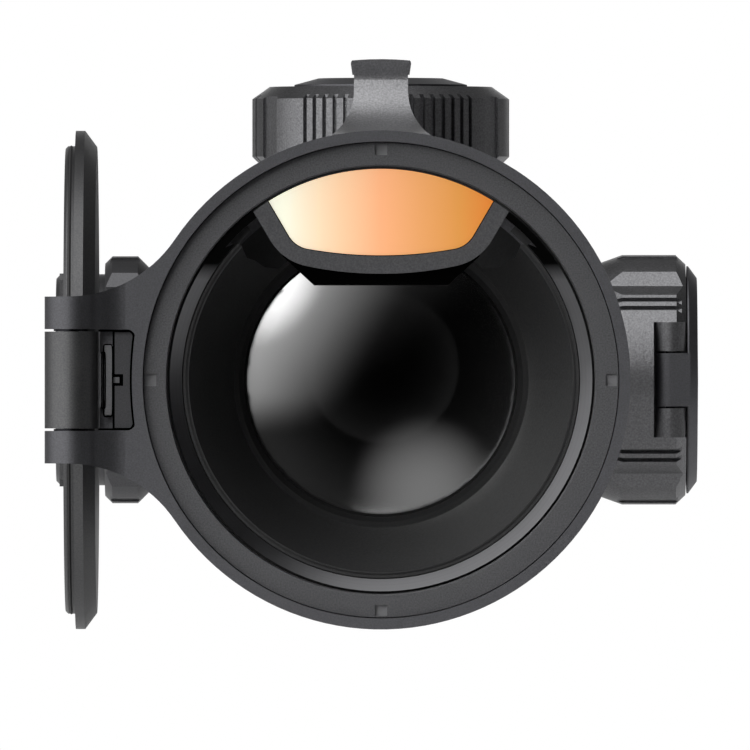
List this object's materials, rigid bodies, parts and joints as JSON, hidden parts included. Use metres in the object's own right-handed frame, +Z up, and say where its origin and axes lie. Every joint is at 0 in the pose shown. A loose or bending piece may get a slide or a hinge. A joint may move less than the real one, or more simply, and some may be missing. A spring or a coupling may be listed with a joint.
{
  "type": "thermal imaging camera",
  "caption": "Tube-bodied thermal imaging camera: hooded infrared objective with a rangefinder window and side-folding cap, focusing lever, turrets, battery bay and eyepiece.",
  "frame": {"origin": "centre of the tube's front ring seat, on the optical axis", "axes": "+Y along the optical axis from the objective to the eyepiece, +Z up, +X towards the battery cap; the objective looks along -Y"},
  "size_m": [0.1039, 0.4047, 0.0888],
  "materials": {
    "bell_coat": "fine-grain black hard coat on a turned aluminium ring",
    "body_coat": "satin black hard anodised aluminium",
    "ring_coat": "satin black anodised, turned face",
    "bevel_gloss": "polished black anodised",
    "hood_black": "flat black hood and lens seat",
    "finder_plastic": "moulded black polyamide, slight sheen",
    "finder_glass": "coated window, pale yellow to orange",
    "infrared_glass": "germanium with a dark antireflection coating",
    "clear_glass": "coated optical glass",
    "steel": "black oxide or plain steel",
    "lever_coat": "dark grey bead blasted coat",
    "rubber": "matt black rubber",
    "knob_plastic": "satin black moulded grip",
    "cap_plastic": "fine-grain black moulded cap",
    "board": "green circuit board",
    "chip": "black component",
    "cell_wrap": "shrink-wrapped cell",
    "brass": "plated contact"
  },
  "bodies": {
    "body": {"battery_seal": "rubber", "bevel_ring": "bevel_gloss", "builtin_cell": "cell_wrap", "button_board": "board", "charging_socket": "steel", "collar_screws": "steel", "contact_spring": "brass", "detent_plate": "steel", "detent_spring": "steel", "display": "chip", "display_board": "board", "encoder": "chip", "eyecup": "rubber", "eyepiece_housing": "body_coat", "hinge_pin": "steel", "hinge_ring": "bell_coat", "hinge_washers": "steel", "hood": "hood_black", "knob_bush": "brass", "lens_guide": "body_coat", "main_board": "board", "main_body": "body_coat", "objective_housing": "bell_coat", "port_board": "board", "rangefinder_housing": "finder_plastic", "rangefinder_module": "body_coat", "rangefinder_window": "finder_glass", "retaining_ring": "ring_coat", "return_spring": "steel", "ring_tubes": "body_coat", "sensor_board": "board", "shutter": "chip", "thermal_sensor": "chip"},
    "lens_cap": {"lens_cap": "cap_plastic", "lens_cap_seal": "rubber"},
    "focus_ring": {"focus_ring": "lever_coat", "focus_pin": "steel"},
    "lens_carrier": {"lens_cell": "body_coat", "front_lens": "infrared_glass", "rear_lens": "infrared_glass", "lens_bezel": "hood_black"},
    "battery": {"battery_pack": "cell_wrap"},
    "battery_cover": {"battery_cap": "body_coat", "battery_lever_pin": "steel"},
    "battery_lever": {"battery_lever": "body_coat"},
    "knob_carriage": {"thrust_collar": "brass"},
    "knob": {"control_knob": "knob_plastic", "control_shaft": "steel"},
    "top_seal": {"top_cap_seal": "rubber"},
    "top_cover": {"top_cap": "body_coat", "top_cap_plate": "body_coat"},
    "power_button": {"power_button": "rubber"},
    "record_button": {"record_button": "rubber"},
    "range_button": {"range_button": "rubber"},
    "diopter_ring": {"diopter_ring": "knob_plastic", "diopter_pin": "steel"},
    "ocular": {"ocular_cell": "body_coat", "ocular_lenses": "clear_glass", "ocular_retainers": "body_coat"},
    "port_cover": {"port_cover": "rubber"}
  },
  "joints": [
    {"name": "lens_cap_hinge", "type": "hinge", "parent": "body", "child": "lens_cap", "pos_m": [-0.0478, -0.139, 0], "axis": [0, 0, 1], "range_deg": [0, 270]},
    {"name": "focus_ring_turn", "type": "hinge", "parent": "body", "child": "focus_ring", "pos_m": [0, -0.109, 0], "axis": [0, 1, 0], "range_deg": [-40, 40]},
    {"name": "focus_lens_shift", "type": "slide", "parent": "body", "child": "lens_carrier", "axis": [0, 1, 0], "range_m": [-0.00121, 0.00121]},
    {"name": "battery_pull", "type": "slide", "parent": "body", "child": "battery", "axis": [1, 0, 0], "range_m": [0, 0.05]},
    {"name": "battery_cap_turn", "type": "hinge", "parent": "battery", "child": "battery_cover", "pos_m": [0.045, 0.06, 0], "axis": [1, 0, 0], "range_deg": [0, 90]},
    {"name": "battery_lever_fold", "type": "hinge", "parent": "battery_cover", "child": "battery_lever", "pos_m": [0.0467, 0.0427, 0], "axis": [0, 0, -1], "range_deg": [0, 90]},
    {"name": "control_knob_press", "type": "slide", "parent": "body", "child": "knob_carriage", "axis": [1, 0, 0], "range_m": [0, 0.0008], "stiffness_N_per_m": 900, "springref_m": -0.002},
    {"name": "control_knob_turn", "type": "hinge", "parent": "knob_carriage", "child": "knob", "pos_m": [-0.045, 0.06, 0], "axis": [-1, 0, 0], "continuous": true},
    {"name": "top_cap_rise", "type": "slide", "parent": "body", "child": "top_seal", "axis": [0, 0, 1], "range_m": [0, 0.0015]},
    {"name": "top_cap_turn", "type": "hinge", "parent": "top_seal", "child": "top_cover", "pos_m": [0, 0.06, 0.041], "axis": [0, 0, 1], "range_deg": [0, 360]},
    {"name": "power_button_press", "type": "slide", "parent": "body", "child": "power_button", "axis": [0, 0, -1], "range_m": [0, 0.0007], "stiffness_N_per_m": 400, "springref_m": -0.002},
    {"name": "record_button_press", "type": "slide", "parent": "body", "child": "record_button", "axis": [0, 0, -1], "range_m": [0, 0.0007], "stiffness_N_per_m": 400, "springref_m": -0.002},
    {"name": "range_button_press", "type": "slide", "parent": "body", "child": "range_button", "axis": [0, 0, -1], "range_m": [0, 0.0007], "stiffness_N_per_m": 400, "springref_m": -0.002},
    {"name": "diopter_ring_turn", "type": "hinge", "parent": "body", "child": "diopter_ring", "pos_m": [0, 0.2143, 0], "axis": [0, 1, 0], "range_deg": [-60, 60]},
    {"name": "ocular_shift", "type": "slide", "parent": "body", "child": "ocular", "axis": [0, 1, 0], "range_m": [-0.00151, 0.00151]},
    {"name": "port_cover_fold", "type": "hinge", "parent": "body", "child": "port_cover", "pos_m": [0, 0.18065, -0.02125], "axis": [-1, 0, 0], "range_deg": [0, 90]}
  ],
  "couplings": [
    {"joint": "focus_lens_shift", "follows": "focus_ring_turn", "m_per_rad": -0.0017189},
    {"joint": "top_cap_rise", "follows": "top_cap_turn", "m_per_rad": 0.00023873},
    {"joint": "ocular_shift", "follows": "diopter_ring_turn", "m_per_rad": -0.0014324}
  ]
}
